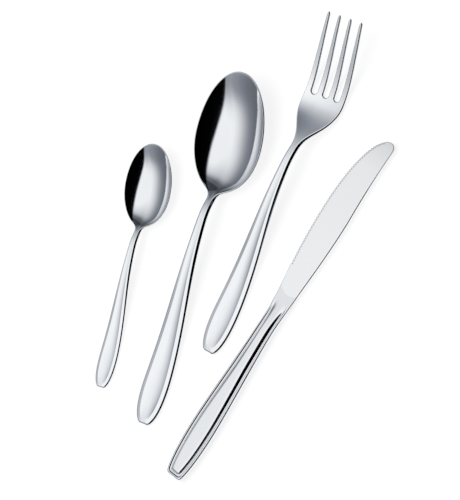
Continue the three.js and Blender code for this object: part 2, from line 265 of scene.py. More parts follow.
def arc(centre, across, along, first, last, count=160):
    """Part of an oval: at 0 degrees it stands to the right, at 90 degrees towards the bowl, tines or blade."""
    a = np.radians(np.linspace(first, last, count))
    return np.stack([centre[0] + across * np.cos(a), centre[1] + along * np.sin(a)], 1)


def join(*parts):
    """One path from parts that meet end to end."""
    return np.concatenate([parts[0]] + [p[1:] for p in parts[1:]])


def run_of(path):
    """Distance along a path at each of its points."""
    return np.concatenate([[0.0], np.cumsum(np.linalg.norm(np.diff(path, axis=0), axis=1))])


def spread(path, gap):
    """Stations along a path, about as far apart as the gap at each of its points."""
    run = run_of(path)
    gaps = np.broadcast_to(gap, run.shape)
    steps = np.concatenate([[0.0], np.cumsum(np.diff(run) * 2 / (gaps[1:] + gaps[:-1]))])
    count = max(2, int(math.ceil(steps[-1])) + 1)
    at = np.interp(np.linspace(0, steps[-1], count), steps, run)
    return np.stack([np.interp(at, run, path[:, k]) for k in (0, 1)], 1)


def eased(y, z, width):
    """A side view z over y with its kinks eased over a width."""
    step = 0.1
    fine = np.arange(y[0], y[-1] + step, step)
    flat = np.interp(fine, y, z)
    reach = int(3 * width / step)
    weight = np.exp(-0.5 * (np.arange(-reach, reach + 1) * step / width) ** 2)
    head = 2 * flat[0] - flat[reach:0:-1]
    tail = 2 * flat[-1] - flat[-2:-reach - 2:-1]
    soft = np.convolve(np.concatenate([head, flat, tail]), weight / weight.sum(), "valid")
    return lambda at: np.interp(at, fine, soft)


def distance(points, path):
    """Distance of each plan point from a path."""
    start, step = path[:-1], np.diff(path, axis=0)
    size = np.maximum((step ** 2).sum(1), 1e-12)
    flat = points.reshape(-1, 2)
    found = np.empty(len(flat))
    batch = 2000
    for i in range(0, len(flat), batch):
        off = flat[i:i + batch, None, :] - start
        t = np.clip((off * step).sum(2) / size, 0, 1)
        found[i:i + batch] = np.sqrt(((off - t[..., None] * step) ** 2).sum(2).min(1))
    return found.reshape(points.shape[:-1])


def soft_least(a, b, width):
    """The smaller of two distances, rounded over where they are alike, so that corners come out round."""
    near = np.maximum(width - np.abs(a - b), 0.0) / width
    return np.minimum(a, b) - near * near * width / 4


class Rows:
    """Straight rows in plan from the outline in to the middle line, measured by their distance from the outline."""

    def __init__(self, outer, inner, inset):
        self.share = np.linspace(0.0, 1.0, 130) ** 2
        self.outer, self.inner = outer, inner
        points = mix(outer[:, None, :], inner[:, None, :], self.share[None, :, None])
        self.depth = np.maximum.accumulate(inset(points), axis=1)

    def at(self, depth):
        """Plan points at a depth in from the outline, one depth for each row."""
        depth = np.broadcast_to(depth, (len(self.outer),))
        t = np.array([np.interp(d, row, self.share) for d, row in zip(depth, self.depth)])
        return mix(self.outer, self.inner, t[:, None])


# Meshes


def shell(name, sides):
    """One closed mesh from grids of points. A side's rows go round the outline and its columns over the section."""
    points, faces = [], []
    for grid, mirrored in sides:
        rows, columns = grid.shape[:2]
        first = len(points)
        points.extend(map(tuple, grid.reshape(-1, 3)))
        for i in range(rows - 1):
            for j in range(columns - 1):
                a = first + i * columns + j
                quad = (a, a + 1, a + columns + 1, a + columns)
                faces.append(quad[::-1] if mirrored else quad)
    mesh = bpy.data.meshes.new(name)
    mesh.from_pydata(points, [], faces)
    work = bmesh.new()
    work.from_mesh(mesh)
    bmesh.ops.remove_doubles(work, verts=work.verts, dist=WELD)
    bmesh.ops.dissolve_degenerate(work, edges=work.edges, dist=WELD)
    work.to_mesh(mesh)
    work.free()
    return mesh


def both_sides(grid):
    """A half and its mirror image."""
    other = grid.copy()
    other[..., 0] *= -1
    return [(grid, False), (other, True)]


def settle(mesh):
    """Lets a piece down on the table: the longest span of its lower side view comes to lie level at nought."""
    points = np.empty(len(mesh.vertices) * 3)
    mesh.vertices.foreach_get("co", points)
    points = points.reshape(-1, 3)
    under = []
    for y, z in sorted(map(tuple, points[:, 1:])):
        while len(under) > 1:
            (y0, z0), (y1, z1) = under[-2:]
            if (y1 - y0) * (z - z0) - (z1 - z0) * (y - y0) > 0:
                break
            under.pop()
        under.append((y, z))
    spans = [b[0] - a[0] for a, b in zip(under, under[1:])]
    (y0, z0), (y1, z1) = under[int(np.argmax(spans)):][:2]
    tilt = Matrix.Rotation(-math.atan2(z1 - z0, y1 - y0), 4, "X")
    mesh.transform(Matrix.Translation((0, y0, 0)) @ tilt @ Matrix.Translation((0, -y0, -z0)))


def place(mesh, node, turn, finish):
    """Lays a finished mesh where its solid lies, lets it stand for that solid and gives it its finish."""
    mesh.transform(Matrix.Scale(MM, 4))
    spin = Matrix.Rotation(-turn, 4, "Z")
    corners = np.array([spin @ v.co for v in mesh.vertices])
    low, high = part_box(node)
    middle = (np.array(low) + np.array(high)) / 2 - (corners.min(0) + corners.max(0)) / 2
    start = Vector((middle[0], middle[1], 0.0))
    mesh.transform(Matrix.Translation(start) @ spin)
    mesh.polygons.foreach_set("use_smooth", [True] * len(mesh.polygons))
    mesh.materials.append(finish(start, -turn))
    piece = bpy.data.objects.new(mesh.name, mesh)
    bpy.context.scene.collection.objects.link(piece)
    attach(piece, "root")
    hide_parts(node)


# Pressed pieces: the spoons and the fork


def handle_outline(s):
    """Right half of the outline from the middle of the blunt end over the widest place to the neck."""
    end, wide, neck = s.end_width / 2, s.handle_width / 2, s.neck_width / 2
    taper = s.neck_at - s.widest_at
    return (
        line((0, 0), (end, 0)),
        curve((end, 0), (mix(end, wide, 0.78), 0.17 * s.widest_at), (wide, 0.55 * s.widest_at), (wide, s.widest_at)),
        curve(
            (wide, s.widest_at), (wide, s.widest_at + 0.16 * taper),
            (neck, s.widest_at + 0.74 * taper), (neck, s.neck_at),
        ),
    )


def handle_profile(s):
    """Side view of the upper edge along the table and up to the top of the neck."""
    crest_at = s.neck_at - 2 * s.neck_width
    rise = crest_at - s.flat_length
    return crest_at, join(
        line((0, s.handle_thickness), (s.flat_length, s.handle_thickness)),
        curve(
            (s.flat_length, s.handle_thickness), (s.flat_length + 0.4 * rise, s.handle_thickness),
            (crest_at - 0.4 * rise, s.neck_height), (crest_at, s.neck_height),
        ),
    )


def hollow(across):
    """Depth share of a dish from its middle, 1, to its border, 0."""
    x = np.clip(np.abs(across), 0, 1)
    return 1 - x * x * (BOWL_FULLNESS + (1 - BOWL_FULLNESS) * x * x)


def flat_back(across):
    """Depth share of a handle's back: level in the middle, rising to the sides."""
    return 1 - np.clip(np.abs(across), 0, 1) ** 4


class Handle:
    """Section of a pressed handle over its length y, alike for the spoons and the fork."""

    def __init__(self, sizes):
        self.sizes = sizes

    def taper(self, y):
        """From the widest place, 0, to the neck, 1."""
        return smooth(y, self.sizes.widest_at, self.sizes.neck_at)

    def slim(self, y):
        """From the broad part of the handle, 0, to the neck, 1, where the bevel has run out."""
        s = self.sizes
        return smooth(y, mix(s.widest_at, s.neck_at, 0.35), s.neck_at)

    def bevel(self, y):
        """Share of the border that is bevelled."""
        return BEVEL_SHARE * (1 - self.slim(y))

    def border(self, y):
        """Width of the border."""
        return self.sizes.border_width * mix(1.0, 0.6, self.slim(y))

    def fall(self, y, head, head_fall):
        """Fall over the border in border widths: the bevel's, and the roll's, which changes towards the head."""
        flat = self.bevel(y)
        rolled = (1 - flat) * mix(mix(0.52, 0.72, self.taper(y)), head_fall, head)
        return rolled + BEVEL_SLOPE * flat / BEVEL_SHARE

    def dish(self, y):
        """Hollow of the face, which runs out at the blunt end and at the neck."""
        s = self.sizes
        end_rise = 1 - np.clip(1 - (y - s.border_width) / (0.4 * s.widest_at), 0, 1) ** 2
        return s.dish * (1 - self.taper(y)) * end_rise

    def body(self, y):
        """Thickness in the middle."""
        return mix(self.sizes.handle_thickness, self.sizes.neck_thickness, self.taper(y))

    def edge(self, y):
        """Thickness at the sides."""
        s = self.sizes
        return s.side_thickness * mix(1.0, s.neck_thickness / s.handle_thickness, self.taper(y))

    def back(self, y):
        """How full the rounded back is: it runs out at the blunt end."""
        return 1 - np.clip(1 - y / (1.5 * self.sizes.border_width), 0, 1) ** 2


def pressed_mesh(name, rows, form):
    """One mesh from a section for every row: over the face, round the border, down the side and back under."""
    columns = []

    def add(plan, height):
        columns.append(np.column_stack([plan, height]))

    outline = rows.at(0.0)
    border, bevel, drop, rounding = (f(outline[:, 1]) for f in (form.border, form.bevel, form.drop, form.rounding))
    tilt = BEVEL_SLOPE * border * bevel / BEVEL_SHARE
    inset, under = rows.at(border), rows.at(rounding)
    for t in np.concatenate([np.linspace(0, 1, FACE_LOOPS)[:-1], [0.985, 1.0]]):
        plan = mix(rows.inner, inset, t)
        add(plan, form.top(plan))
    for t in BEVEL_STEPS:
        plan = rows.at(border * (1 - bevel * t))
        add(plan, form.top(plan) - tilt * bevel * t)
    for t in BORDER_STEPS:
        across = mix(bevel, 1.0, t)
        plan = rows.at(border * (1 - across))
        add(plan, form.top(plan) - tilt * across - (drop - tilt) * t * t)
    add(outline, mix(form.top(outline) - drop, form.low(outline) + rounding, 0.5))
    for a in np.radians(np.linspace(0, 90, EDGE_LOOPS + 1)):
        plan = rows.at(rounding * (1 - math.cos(a)))
        add(plan, form.low(plan) + rounding * (1 - math.sin(a)))
    for t in np.linspace(1, 0, FACE_LOOPS)[1:]:
        plan = mix(rows.inner, under, t)
        add(plan, form.under(plan))
    return shell(name, both_sides(np.stack(columns, 1)))


def half_width(plan, skip):
    """Half width over the length, from the stations past the blunt end."""
    y, x = plan[skip:, 1], plan[skip:, 0]
    order = np.argsort(y)
    return lambda at: np.interp(at, y[order], x[order])


def corner_round(s):
    """Width over which the corners of the blunt end are rounded."""
    return 0.16 * s.end_width


def spoon_outline(s, widest):
    """Right half of a spoon's outline: past the blunt end, with that end, and where the throat joins the bowl."""
    bowl_half, lean, reach = s.bowl_width / 2, math.radians(JOIN_ANGLE), 0.3
    join_at, join_half = widest - s.bowl_heel * math.cos(lean), bowl_half * math.sin(lean)
    end, swell, taper = handle_outline(s)
    throat = curve(
        taper[-1], (s.neck_width / 2, mix(s.neck_at, join_at, 0.55)),
        (join_half - reach * bowl_half * math.cos(lean), join_at - reach * s.bowl_heel * math.sin(lean)),
        (join_half, join_at),
    )
    heel = arc((0, widest), bowl_half, s.bowl_heel, JOIN_ANGLE - 90, 0)
    nose = arc((0, widest), bowl_half, s.bowl_nose, 0, 90)
    side = join(swell, taper, throat, heel, nose)
    return side, join(end, side), join_at


def spoon_crest(s, widest):
    """Side view of a spoon's upper edge: handle, neck, heel and the rim up to the nose."""

    def step(along, share):
        """A place near the neck: along in neck widths, and up from the heel's height to the neck's."""
        return s.neck_at + along * s.neck_width, mix(s.heel_height, s.neck_height, share)

    _, handle = handle_profile(s)
    brow, heel = step(0.09, 0.42), step(2.05, 0.0)
    profile = join(
        handle,
        curve(handle[-1], step(-1.05, 1.0), step(-0.41, 0.67), brow),
        curve(brow, step(0.66, 0.136), step(1.34, 0.0), heel),
        curve(
            heel, (mix(heel[0], s.length, 0.24), mix(s.heel_height, s.nose_height, 0.07)),
            (mix(s.length, widest, 0.52), mix(s.nose_height, s.heel_height, 0.4)), (s.length, s.nose_height),
        ),
    )
    return eased(profile[:, 0], profile[:, 1], 0.008 * s.length)


def spoon_rows(s, side, path, widest):
    """Rows of a spoon, closest together at its two ends."""
    scale = s.length / FULL_LENGTH
    gap = scale * np.interp(
        path[:, 1], [0, 0.02 * s.length, 0.1 * s.length, s.neck_at, widest, 0.94 * s.length, s.length],
        [0.3, 0.4, 1.2, 1.2, 0.9, 0.7, 0.35],
    )
    stations = spread(path, gap)
    run = run_of(stations)
    first, last = 16 * scale, run[-1] - 18 * scale
    between = (run > first) & (run < last)
    first_y, last_y = np.interp([first, last], run, stations[:, 1])
    middle = np.interp(
        run, [0, first, *run[between], last, run[-1]],
        [s.border_width + 1, first_y, *stations[between, 1], last_y, s.length - 5 * scale],
    )
    inner = np.column_stack([np.zeros(len(middle)), middle])
    return Rows(stations, inner, lambda p: soft_least(distance(p, side), p[..., 1], corner_round(s)))


def spoon_mesh(name, s):
    """A spoon pressed from one blank."""
    scale, widest, handle = s.length / FULL_LENGTH, s.length - s.bowl_nose, Handle(s)
    side, path, join_at = spoon_outline(s, widest)
    crest = spoon_crest(s, widest)
    rows = spoon_rows(s, side, path, widest)
    run = run_of(rows.outer)
    rough_half = half_width(rows.outer, int(np.argmax(run > s.end_width / 2 + 0.1)))

    def bowl_share(y):
        return smooth(y, s.neck_at, mix(join_at, widest, 0.42))

    def border(y):
        throat = smooth(y, s.neck_at, s.neck_at + 1.1 * s.neck_width)
        full = mix(handle.border(y), 1.5 * EDGE_ROUND * scale, throat)
        near_nose = mix(0.8 * rough_half(y), 9.0, smooth(y, widest, widest + 5))
        return np.minimum(full, np.where(y < s.widest_at, full, near_nose))

    def rounding(y):
        return EDGE_ROUND * scale * mix(1.5, 1.1, bowl_share(y))

    def drop(y):
        return border(y) * handle.fall(y, bowl_share(y), 0.95)

    outline_y = rows.at(0.0)[:, 1]
    skip = int(np.argmax(run > s.end_width / 2 + s.border_width))
    face_half = half_width(rows.at(border(outline_y)), skip)
    under_half = half_width(rows.at(rounding(outline_y)), skip)
    widest_face = face_half(widest)

    def bowl_hollow(y):
        begun = smooth(y, s.neck_at - 0.15 * s.neck_width, s.neck_at + 0.5 * s.neck_width)
        full = mix(0.9, 1.0, smooth(y, s.neck_at + 1.4 * s.neck_width, mix(join_at, widest, 0.65)))
        power = mix(1.25, 2.2, smooth(y, widest, s.length))
        return begun * full * s.bowl_depth * (face_half(y) / widest_face) ** power

    def top(p):
        y = p[:, 1]
        across = p[:, 0] / np.maximum(face_half(y), 1e-3)
        return crest(y) - (handle.dish(y) + bowl_hollow(y)) * hollow(across)

    def low(p):
        y = p[:, 1]
        return crest(y) - mix(handle.edge(y), s.rim_thickness, bowl_share(y))

    def under(p):
        y = p[:, 1]
        sole = crest(y) - mix(handle.body(y), s.bowl_thickness, bowl_share(y)) - bowl_hollow(y)
        across = p[:, 0] / np.maximum(under_half(y), 1e-3)
        belly = mix(handle.back(y) * flat_back(across), hollow(across), bowl_share(y))
        return mix(low(p), sole, belly)

    form = SimpleNamespace(
        border=border, bevel=handle.bevel, drop=drop, rounding=rounding, top=top, low=low, under=under,
    )
    mesh = pressed_mesh(name, rows, form)
    settle(mesh)
    return mesh


def fork_stations(s):
    """Right half of the fork's outline in and out of its slots, with the middle lines that its rows run to."""
    tip_at, root_at = s.length - s.tine_tip_round, s.length - s.slot_length
    shoulder = s.head_at - s.neck_at
    head_half, tip_half = s.head_width / 2, s.tip_span / 2
    end, swell, taper = handle_outline(s)
    flank = join(
        swell, taper,
        curve(
            taper[-1], (s.neck_width / 2, s.neck_at + 0.38 * shoulder),
            (head_half, s.head_at - 0.52 * shoulder), (head_half, s.head_at),
        ),
    )
    bend = np.array((head_half, mix(s.head_at, tip_at, 0.35)))
    tine_end = np.array((tip_half, tip_at))
    outer = curve(flank[-1], mix(flank[-1], bend, 2 / 3), mix(tine_end, bend, 2 / 3), tine_end)
    outer_half = half_width(join(flank, outer), 0)
    root_pitch = (2 * outer_half(root_at) - s.tine_root_width) / 3
    tip_pitch = (s.tip_span - s.tine_tip_width) / 3
    radius = (root_pitch - s.tine_root_width) / 2
    level = root_at + radius

    heights = np.linspace(level, tip_at - 0.6, 44)
    tip = s.tine_tip_width / 2

    def wall(root_x, tip_x):
        return lambda y: mix(root_x, tip_x, (y - level) / (tip_at - level))

    outer_left = wall(root_pitch + radius, 1.5 * tip_pitch - tip)
    inner_right = wall(root_pitch - radius, 0.5 * tip_pitch + tip)
    inner_left = wall(radius, 0.5 * tip_pitch - tip)

    def tine(right, left, axis):
        """Stations up one side of a tine, round its tip and down the other, with its middle line."""
        turn = arc((axis, tip_at), tip, s.tine_tip_round, 0, 180, 25)
        up = np.column_stack([right(heights), heights])
        down = np.column_stack([left(heights), heights])[::-1]
        centre = np.column_stack([(right(heights) + left(heights)) / 2, heights])
        ends = np.linspace(tip_at - 0.3, tip_at + 0.35 * s.tine_tip_round, 13)
        cap = np.column_stack([np.full(len(ends), axis), ends])
        return np.concatenate([up, turn, down]), np.concatenate([centre, cap, cap[-2::-1], centre[::-1]])

    split = np.array((0.0, root_at - 1.6 * root_pitch))
    outer_tine, outer_middle = tine(outer_half, outer_left, 1.5 * tip_pitch)
    inner_tine, inner_middle = tine(inner_right, inner_left, 0.5 * tip_pitch)
    steps = 14
    outer_branch = line(split, outer_middle[0], steps)
    inner_branch = line(split, inner_middle[0], steps)

    start = join(end, flank[flank[:, 1] < split[1]])
    gap = np.interp(start[:, 1], [0, 3, 20, split[1]], [0.3, 0.45, 1.2, 0.9])
    handle = spread(start, gap)
    run = run_of(handle)
    first = 16
    first_y, rest = np.interp(first, run, handle[:, 1]), run > first
    middle = np.interp(run, [0, first, *run[rest]], [s.border_width + 1, first_y, *handle[rest, 1]])
    handle_middle = np.column_stack([np.zeros(len(middle)), middle])
    palm_y = np.linspace(split[1], level, steps)[:-1]
    palm = np.column_stack([outer_half(palm_y), palm_y])
    side_root = arc((root_pitch, level), radius, radius, 0, -180, 2 * steps - 1)
    mid_root = arc((0, level), radius, radius, 0, -90, steps)

    stations = np.concatenate([handle, palm, outer_tine, side_root[1:-1], inner_tine, mid_root[1:]])
    inner = np.concatenate([
        handle_middle, outer_branch[:-1], outer_middle,
        outer_branch[-2::-1], inner_branch[1:-1], inner_middle, inner_branch[-2::-1],
    ])
    walls = np.concatenate([flank[flank[:, 1] < level], outer_tine, side_root, inner_tine, mid_root])
    return SimpleNamespace(stations=stations, inner=inner, walls=walls, outer_half=outer_half)


def fork_crest(s):
    """Side view of the fork's upper edge: handle, neck, palm and the tines up to their tips."""
    crest_at, handle = handle_profile(s)
    lift = s.length - s.palm_at
    profile = join(
        handle,
        curve(
            handle[-1], (mix(crest_at, s.palm_at, 0.4), s.neck_height),
            (mix(crest_at, s.palm_at, 0.75), s.palm_thickness), (s.palm_at, s.palm_thickness),
        ),
        curve(
            (s.palm_at, s.palm_thickness), (s.palm_at + 0.22 * lift, s.palm_thickness),
            (s.length - 0.5 * lift, mix(s.palm_thickness, s.tip_height, 0.43)), (s.length, s.tip_height),
        ),
    )
    return eased(profile[:, 0], profile[:, 1], 2.2)


def fork_mesh(name, s):
    """A fork pressed from one blank, its four tines cut out of the head and their tips on a slight slant."""
    plan, crest, handle = fork_stations(s), fork_crest(s), Handle(s)
    rows = Rows(
        plan.stations, plan.inner, lambda p: soft_least(distance(p, plan.walls), p[..., 1], corner_round(s))
    )

    def head_share(y):
        return smooth(y, s.neck_at, s.palm_at)

    def border(y):
        full = mix(handle.border(y), 2 * EDGE_ROUND, head_share(y))
        return np.where(y < s.widest_at, full, np.minimum(full, 0.8 * plan.outer_half(y)))

    def rounding(y):
        return EDGE_ROUND * mix(1.5, 1.0, head_share(y))

    def drop(y):
        return border(y) * handle.fall(y, head_share(y), 0.8)

    def body(y):
        sheet = mix(s.palm_thickness, s.tine_tip_thickness, smooth(y, s.palm_at, s.length))
        return mix(handle.body(y), sheet, head_share(y))

    def palm_dish(y):
        return head_share(y) * s.palm_dish * (1 - smooth(y, s.head_at, s.length))

    def face_hollow(p):
        y = p[:, 1]
        return hollow(p[:, 0] / np.maximum(plan.outer_half(y) - border(y), 0.3))

    def top(p):
        y = p[:, 1]
        return crest(y) - (handle.dish(y) + palm_dish(y)) * face_hollow(p)

    def low(p):
        y = p[:, 1]
        return crest(y) - mix(handle.edge(y), body(y), head_share(y)) - palm_dish(y) * face_hollow(p)

    def under(p):
        y = p[:, 1]
        sole = crest(y) - body(y) - palm_dish(y) * face_hollow(p)
        rounded = handle.back(y) * flat_back(p[:, 0] / (plan.outer_half(y) - EDGE_ROUND))
        back = np.where(y < s.palm_at, rounded, 1)
        return mix(low(p), sole, mix(back, 1.0, head_share(y)))

    form = SimpleNamespace(
        border=border, bevel=handle.bevel, drop=drop, rounding=rounding, top=top, low=low, under=under,
    )
    mesh = pressed_mesh(name, rows, form)
    slant = 2 * s.tip_rise / s.tip_span
    for v in mesh.vertices:
        v.co.y += slant * v.co.x * smooth(v.co.y, s.neck_at, s.palm_at + 4)
    settle(mesh)
    return mesh


# Knife


def knife_side(s, out, lead, follow):
    """One side of the outline from the blunt end past the neck to where the blade stands out most."""
    end, wide, neck = s.end_width / 2, s.handle_width / 2, s.neck_width / 2
    taper, blade = s.neck_at - s.widest_at, s.blade_at - s.neck_at
    return join(
        curve((end, 0), (mix(end, wide, 0.6), 0.12 * s.widest_at), (wide, 0.5 * s.widest_at), (wide, s.widest_at)),
        curve(
            (wide, s.widest_at), (wide, s.widest_at + 0.25 * taper), (neck, s.neck_at - 0.3 * taper),
            (neck, s.neck_at),
        ),
        curve(
            (neck, s.neck_at), (neck, s.neck_at + lead * blade), (out, s.blade_at - follow * blade),
            (out, s.blade_at),
        ),
    )


def knife_mesh(name, s):
    """A knife forged from one bar, with raised panels on its handle and a toothed edge."""
    shoulder = (s.spine_out + 0.1, s.length - 4.5)
    back = join(
        knife_side(s, s.spine_out, 0.35, 0.45),
        curve(
            (s.spine_out, s.blade_at), (s.spine_out - 0.7, mix(s.blade_at, s.length, 0.35)),
            (s.spine_out - 0.5, mix(s.blade_at, s.length, 0.65)), shoulder,
        ),
        curve(shoulder, (s.spine_out + 0.3, s.length - 1.5), (s.tip_out + 1.4, s.length), (s.tip_out, s.length)),
    )
    edge = join(
        knife_side(s, s.edge_out, 0.3, 0.55),
        curve(
            (s.edge_out, s.blade_at), (s.edge_out, mix(s.blade_at, s.length, 0.55)),
            (0.45 * s.edge_out, s.length), (-s.tip_out, s.length),
        ),
    ) * (-1, 1)
    end_count, tip_count = 14, 89
    end_run = np.linspace(0, s.end_width / 2, end_count)
    heights = np.concatenate([
        np.geomspace(0.3, 8, 26), np.arange(9, s.teeth_from - 1, 1.1),
        np.arange(s.teeth_from - 1, s.length - 14, s.tooth_pitch / 8),
    ])

    def reach(path, y):
        return np.interp(y, path[:, 1], path[:, 0])

    def tip_stations(path):
        tail = path[path[:, 1] > heights[-1]]
        run = run_of(tail)
        at = np.linspace(0, run[-1], tip_count + 1)[1:]
        return np.stack([np.interp(at, run, tail[:, k]) for k in (0, 1)], 1)

    # The middle line starts short of the blunt end, bows towards the back and stops short of the tip.
    tail_y = mix(heights[-1], s.length - 6, np.linspace(0, 1, tip_count + 1)[1:])
    bow = mix(0.0, s.tip_out - 1.5, smooth(np.concatenate([heights, tail_y]), s.blade_at, s.length))
    middle_y = np.interp(heights, [0, 24, s.length], [8.7, 24, s.length])
    inner = np.column_stack([
        np.concatenate([np.zeros(end_count), bow]),
        np.concatenate([np.linspace(7.2, 8.6, end_count), middle_y, tail_y]),
    ])

    groove = s.bead_width + s.groove_width
    depths = np.concatenate([
        np.array([0, 0.12, 0.25, 0.4, 0.6, 0.8, 1.0]) * s.bead_width,
        s.bead_width + np.linspace(0, s.groove_width, 8)[1:],
        groove + s.panel_slope * np.linspace(0, 1, 13)[1:] ** 2,
        groove + s.panel_slope + np.array([0.25, 0.6]),
    ])

    def relief(d, y):
        """Half thickness of the handle over the depth in from its outline: bead, groove and raised panel."""
        fullness = mix(3.2, 1.6, smooth(y, 5, 85))
        thickness = (s.side_thickness, s.bead_thickness, s.groove_thickness, s.handle_thickness)
        side, bead, low, panel = (t / 2 for t in thickness)
        rise = mix(side, bead, np.sqrt(np.clip(1 - (1 - d / s.bead_width) ** 2, 0, 1)))
        dip = mix(bead, low, smooth(d, s.bead_width, s.bead_width + 0.55 * s.groove_width))
        slope = mix(low, panel, 1 - np.clip(1 - (d - groove) / s.panel_slope, 0, 1) ** fullness)
        return np.select([d < s.bead_width, d < groove, d < groove + s.panel_slope], [rise, dip, slope], panel)

    grids = []
    for path, sign in ((back, 1), (edge, -1)):
        outline = np.concatenate([
            np.column_stack([sign * end_run, np.zeros(end_count)]),
            np.column_stack([reach(path, heights), heights]), tip_stations(path),
        ])
        rows = Rows(outline, inner, lambda p: soft_least(distance(p, path), p[..., 1], 1.4))
        fit = np.minimum(1.0, 0.85 * rows.depth[:, -1] / depths[-1])
        notch = scallop = np.zeros(len(outline))
        if sign < 0:
            run = run_of(outline)
            begin = np.interp(s.teeth_from, outline[:, 1], run)
            phase = ((run - begin) / s.tooth_pitch) % 1
            toothed = (run > begin) & (outline[:, 1] < s.length - 1.5)
            scallop = np.where(toothed, 0.5 - 0.5 * np.cos(2 * np.pi * phase), 0.0)
            notch = s.tooth_depth * scallop

        def half(plan, d):
            y = plan[:, 1]
            left, right = reach(edge, np.minimum(y, s.length)), reach(back, np.minimum(y, s.length))
            wedge = np.clip((plan[:, 0] - left) / np.maximum(right - left, 0.5), 0, 1)
            blade = mix(2 * s.edge_thickness, s.spine_thickness, wedge) / 2
            if sign < 0:
                ground = np.clip(mix(1 - 0.45 * scallop, 1.0, d / 1.6), 0, 1)
                blade = blade * ground * np.clip(mix(0.6, 1.0, d / 0.25), 0, 1)
            else:
                blade = blade * np.clip(mix(0.3, 1.0, d / 0.5), 0, 1) ** 0.8
            panel = s.handle_thickness / 2
            carved = mix(relief(d, y) / panel, 1.0, smooth(y, s.heel_at - 12, s.heel_at - 7))
            return mix(panel, blade, smooth(y, s.neck_at - 8, s.heel_at)) * carved

        top = []
        flat = rows.at(depths[-1] * fit)
        for t in np.linspace(0, 1, 11)[:-1]:
            plan = mix(inner, flat, t)
            top.append(np.column_stack([plan, half(plan, np.full(len(plan), DEEP))]))
        for d in depths[::-1]:
            plan = rows.at(d * fit + notch * max(0.0, 1 - d / 1.3))
            top.append(np.column_stack([plan, half(plan, np.full(len(plan), d))]))
        bottom = [column * (1, 1, -1) for column in top[::-1]]
        grids.append((np.stack(top + bottom, 1), sign < 0))
    mesh = shell(name, grids)
    mesh.transform(Matrix.Translation((0, 0, s.handle_thickness / 2)))
    return mesh


# Finishes


class Nodes:
    """Short calls for building a node tree."""

    def __init__(self, owner):
        owner.use_nodes = True
        self.tree = owner.node_tree
        self.tree.nodes.clear()
        self.axes = None

    def add(self, kind, inputs=None, **settings):
        """A node with its settings, and with each input linked to another node or given a plain value."""
        node = self.tree.nodes.new(kind)
        for key, value in settings.items():
            setattr(node, key, value)
        for key, value in (inputs or {}).items():
            if isinstance(value, bpy.types.NodeSocket):
                self.tree.links.new(value, node.inputs[key])
            else:
                node.inputs[key].default_value = value
        return node

    def lie(self, start, turn):
        """The piece's own axes, from its blunt end along its length, for all patterns that follow."""
        where = self.add("ShaderNodeTexCoord").outputs["Object"]
        lying = {"Vector": where, "Location": start, "Rotation": (0, 0, turn)}
        self.axes = self.add("ShaderNodeMapping", lying, vector_type="TEXTURE").outputs["Vector"]

    def parts(self, vector):
        """The three numbers of a vector."""
        return self.add("ShaderNodeSeparateXYZ", {"Vector": vector}).outputs

    def math(self, operation, *values):
        return self.add("ShaderNodeMath", dict(enumerate(values)), operation=operation).outputs[0]

    def numbers(self, factor, first, second):
        """A mix of two numbers."""
        return self.add("ShaderNodeMix", {0: factor, 2: first, 3: second}, data_type="FLOAT").outputs[0]

    def colours(self, factor, first, second, way="MIX"):
        """A mix of two colours."""
        mixed = {0: factor, 6: first, 7: second}
        return self.add("ShaderNodeMix", mixed, data_type="RGBA", blend_type=way).outputs[2]

    def ramp(self, value, stops):
        """A colour for a number, by stops of a place and a colour."""
        node = self.add("ShaderNodeValToRGB", {"Fac": value})
        elements = node.color_ramp.elements
        while len(elements) < len(stops):
            elements.new(0.5)
        for element, (place_at, colour) in zip(elements, stops):
            element.position = place_at
            element.color = (*colour, 1)
        return node.outputs["Color"]

    def noise(self, scale, stretch, detail, roughness):
        """Noise over the piece's own axes, stretched along one of them."""
        stretched = self.add("ShaderNodeMapping", {"Vector": self.axes, "Scale": stretch}).outputs["Vector"]
        grain = {"Vector": stretched, "Scale": scale, "Detail": detail, "Roughness": roughness}
        return self.add("ShaderNodeTexNoise", grain).outputs["Fac"]

    def range(self, value, low, high, to_low, to_high, kind="LINEAR"):
        """A number brought from one range to another."""
        spans = {"Value": value, "From Min": low, "From Max": high, "To Min": to_low, "To Max": to_high}
        return self.add("ShaderNodeMapRange", spans, interpolation_type=kind).outputs["Result"]

    def steel(self, tone, rough, marks, strength):
        """The steel of a piece: its tone, its roughness, and how strongly fine marks show in its surface."""
        bump = self.add("ShaderNodeBump", {"Strength": strength, "Distance": 0.02 * MM, "Height": marks})
        steel = self.add("ShaderNodeBsdfPrincipled", {
            "Metallic": 1.0, "Base Color": tone, "Roughness": rough, "Normal": bump.outputs["Normal"],
        })
        self.add("ShaderNodeOutputMaterial", {"Surface": steel.outputs["BSDF"]})


# Patterns in the steel, by scale, stretch, detail and roughness: a soft haze, lines along it and grinding across it.
HAZE = (60, (1, 0.6, 1), 2.0, 0.5)
LINES = (9000, (1, 0.02, 1), 2.0, 0.6)
GRIND = (5000, (0.03, 1, 1), 3.0, 0.6)


def steel_finish(name, tones, polish, span, start, turn):
    """Polished steel that goes from the handle's tone and polish to the head's, the lighter of the two tones being
    painted light: faint lines along it and a haze.
    """
    material = bpy.data.materials.new(name)
    n = Nodes(material)
    n.lie(start, turn)
    head = n.range(n.parts(n.axes)["Y"], span[0] * MM, span[1] * MM, 0, 1, "SMOOTHSTEP")
    haze, lines = n.noise(*HAZE), n.noise(*LINES)
    # Painted light: the tone moves from the handle's to the head's, and the lighter of the two is a lighter copy of
    # the same steel.
    tone = n.colours(head, (*tones[0], 1), (*tones[1], 1))
    tone = n.colours(1.0, tone, n.range(haze, 0.35, 0.65, 0.97, 1), "MULTIPLY")
    rough = n.math("ADD", n.range(head, 0, 1, *polish), n.range(haze, 0.3, 0.7, 0.0, 0.03))
    rough = n.math("ADD", rough, n.range(lines, 0.3, 0.7, 0.0, 0.02))
    n.steel(tone, rough, lines, 0.02)
    return material


